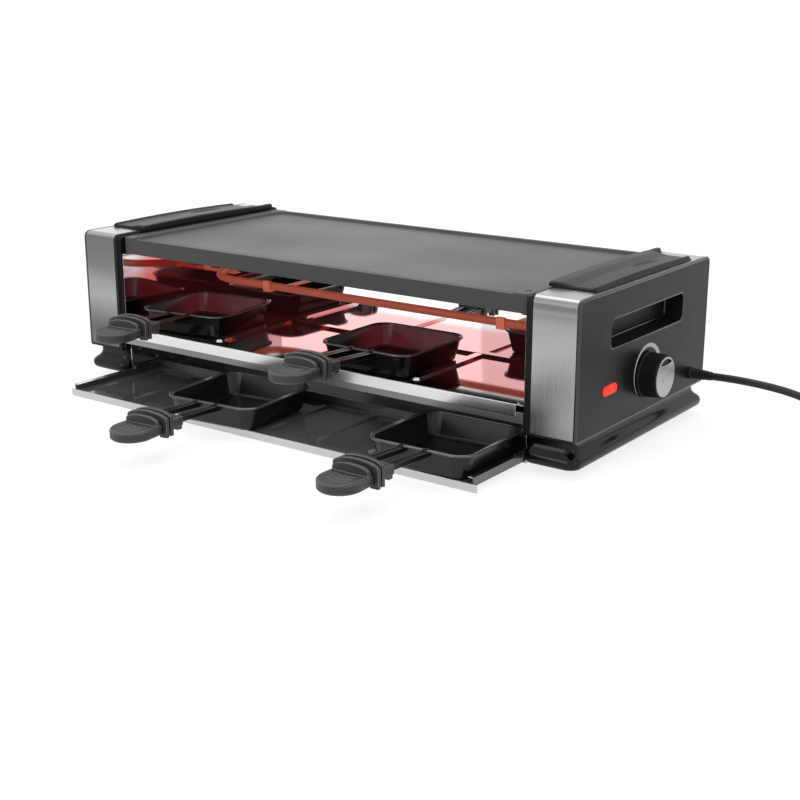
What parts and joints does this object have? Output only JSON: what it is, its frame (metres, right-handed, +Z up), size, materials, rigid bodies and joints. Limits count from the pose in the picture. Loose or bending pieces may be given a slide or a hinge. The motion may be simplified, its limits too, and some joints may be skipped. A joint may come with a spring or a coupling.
{
  "type": "raclette grill",
  "caption": "Low countertop raclette grill with a lift-off plate, pans with grips on a heated deck, sliding trays, a control knob and a coiled mains cord.",
  "frame": {"origin": "on the table, under the middle of the whole grill measured without the free cord, its coil and its plug", "axes": "+X along the grill towards the housing with the knob, +Y towards the rear row of pans, +Z up"},
  "size_m": [0.8166, 0.6048, 0.1472],
  "materials": {
    "black_plastic": "satin",
    "brushed_steel": "brushed",
    "polished_steel": "polished",
    "grey_steel": "satin",
    "black_steel": "satin",
    "plate_coating": "non-stick coating, matt",
    "pan_coating": "non-stick coating, glossy",
    "grip_plastic": "matt",
    "heater_sheath": "oxidised",
    "tray_coating": "semi-gloss coating",
    "lamp_red": "gloss",
    "cap_silver": "satin",
    "rubber": "matt",
    "cord_sheath": "satin",
    "ceramic": "matt",
    "phenolic": "matt"
  },
  "bodies": {
    "grill": {"left_skid": "black_plastic", "right_skid": "black_plastic", "left_side_cover": "black_plastic", "right_side_cover": "black_plastic", "left_inner_wall": "black_plastic", "right_inner_wall": "black_plastic", "left_carry_grip": "black_plastic", "right_carry_grip": "black_plastic", "left_steel_band": "brushed_steel", "right_steel_band": "brushed_steel", "left_liner": "polished_steel", "right_liner": "polished_steel", "pan_deck": "polished_steel", "front_deck_lip": "polished_steel", "rear_deck_lip": "polished_steel", "base_shield": "grey_steel", "left_heater_clip": "grey_steel", "right_heater_clip": "grey_steel", "heater_holder": "grey_steel", "left_tray_guide": "black_steel", "right_tray_guide": "black_steel", "heating_tube": "heater_sheath", "signal_lens": "lamp_red", "lamp_holder": "ceramic", "terminal_block": "ceramic", "thermostat_body": "phenolic", "mains_cord": "cord_sheath", "cord_coil": "cord_sheath", "front_left_pad": "rubber", "front_right_pad": "rubber", "rear_left_pad": "rubber", "rear_right_pad": "rubber", "strain_relief": "rubber", "mains_plug": "rubber"},
    "knob_set": {"knob": "black_plastic", "knob_cap": "cap_silver", "thermostat_shaft": "grey_steel"},
    "front_tray_set": {"front_tray": "tray_coating", "front_tray_lip": "brushed_steel"},
    "rear_tray_set": {"rear_tray": "tray_coating", "rear_tray_lip": "brushed_steel"},
    "plate_set": {"grill_plate": "plate_coating"},
    "front_deck_pan_left_set": {"front_deck_pan_left": "pan_coating", "front_deck_grip_left": "grip_plastic"},
    "front_deck_pan_right_set": {"front_deck_pan_right": "pan_coating", "front_deck_grip_right": "grip_plastic"},
    "rear_deck_pan_left_set": {"rear_deck_pan_left": "pan_coating", "rear_deck_grip_left": "grip_plastic"},
    "rear_deck_pan_right_set": {"rear_deck_pan_right": "pan_coating", "rear_deck_grip_right": "grip_plastic"},
    "front_tray_pan_left_set": {"front_tray_pan_left": "pan_coating", "front_tray_grip_left": "grip_plastic"},
    "front_tray_pan_right_set": {"front_tray_pan_right": "pan_coating", "front_tray_grip_right": "grip_plastic"},
    "rear_tray_pan_left_set": {"rear_tray_pan_left": "pan_coating", "rear_tray_grip_left": "grip_plastic"},
    "rear_tray_pan_right_set": {"rear_tray_pan_right": "pan_coating", "rear_tray_grip_right": "grip_plastic"}
  },
  "joints": [
    {"name": "knob_turn", "type": "hinge", "parent": "grill", "child": "knob_set", "pos_m": [0.26275, 0, 0.0608], "axis": [1, 0, 0], "range_deg": [-135, 135]},
    {"name": "front_tray_slide", "type": "slide", "parent": "grill", "child": "front_tray_set", "axis": [0, 1, 0], "range_m": [0, 0.064]},
    {"name": "rear_tray_slide", "type": "slide", "parent": "grill", "child": "rear_tray_set", "axis": [0, -1, 0], "range_m": [0, 0.064]},
    {"name": "plate_lift", "type": "slide", "parent": "grill", "child": "plate_set", "axis": [0, 0, 1], "range_m": [0, 0.08]},
    {"name": "front_deck_pan_left_pull", "type": "slide", "parent": "grill", "child": "front_deck_pan_left_set", "axis": [0, -1, 0], "range_m": [0, 0.12]},
    {"name": "front_deck_pan_right_pull", "type": "slide", "parent": "grill", "child": "front_deck_pan_right_set", "axis": [0, -1, 0], "range_m": [0, 0.12]},
    {"name": "rear_deck_pan_left_pull", "type": "slide", "parent": "grill", "child": "rear_deck_pan_left_set", "axis": [0, 1, 0], "range_m": [0, 0.12]},
    {"name": "rear_deck_pan_right_pull", "type": "slide", "parent": "grill", "child": "rear_deck_pan_right_set", "axis": [0, 1, 0], "range_m": [0, 0.12]},
    {"name": "front_tray_pan_left_pull", "type": "slide", "parent": "front_tray_set", "child": "front_tray_pan_left_set", "axis": [0, -1, 0], "range_m": [0, 0.12]},
    {"name": "front_tray_pan_right_pull", "type": "slide", "parent": "front_tray_set", "child": "front_tray_pan_right_set", "axis": [0, -1, 0], "range_m": [0, 0.12]},
    {"name": "rear_tray_pan_left_pull", "type": "slide", "parent": "rear_tray_set", "child": "rear_tray_pan_left_set", "axis": [0, 1, 0], "range_m": [0, 0.12]},
    {"name": "rear_tray_pan_right_pull", "type": "slide", "parent": "rear_tray_set", "child": "rear_tray_pan_right_set", "axis": [0, 1, 0], "range_m": [0, 0.12]}
  ]
}
